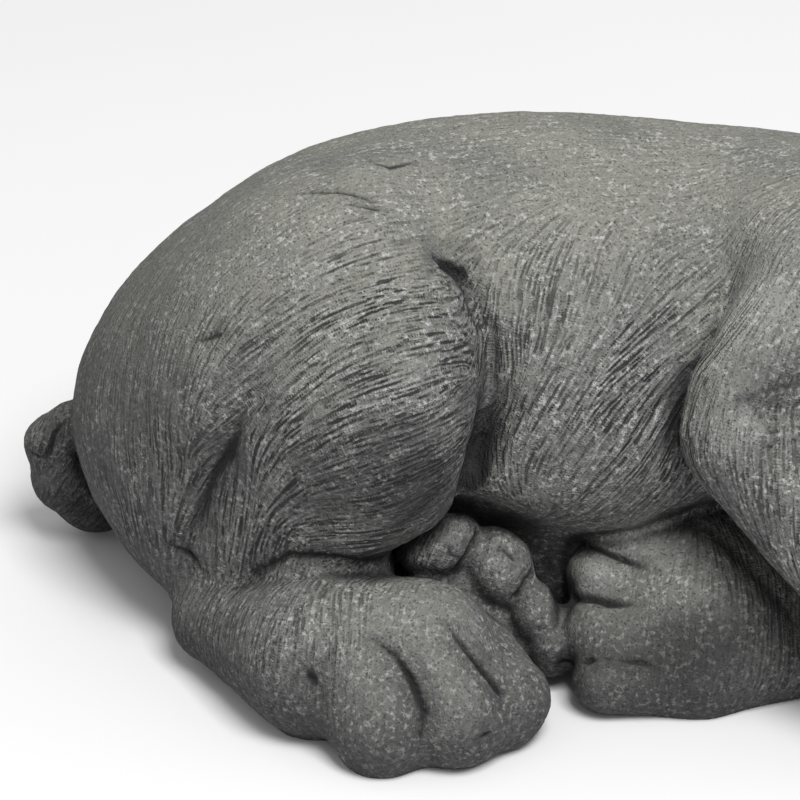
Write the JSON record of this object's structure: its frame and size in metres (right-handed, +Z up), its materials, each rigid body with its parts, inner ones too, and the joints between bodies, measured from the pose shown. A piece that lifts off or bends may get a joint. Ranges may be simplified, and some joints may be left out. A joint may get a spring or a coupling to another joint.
{
  "type": "sleeping dog garden statue",
  "caption": "Cast stone garden statue of a sleeping dog, curled on its side with its paws drawn in and its head on the ground.",
  "frame": {"origin": "on the ground under the middle of the body, on the flat underside", "axes": "+X runs along the body from the tail to the head, +Y from the drawn-in paws towards the back, +Z up"},
  "size_m": [0.4195, 0.2652, 0.174],
  "materials": {
    "stone": "weathered grey cast stone with light sand grains, dark in its hollows"
  },
  "bodies": {
    "root": {"sleeping_dog": "stone"}
  },
  "joints": []
}
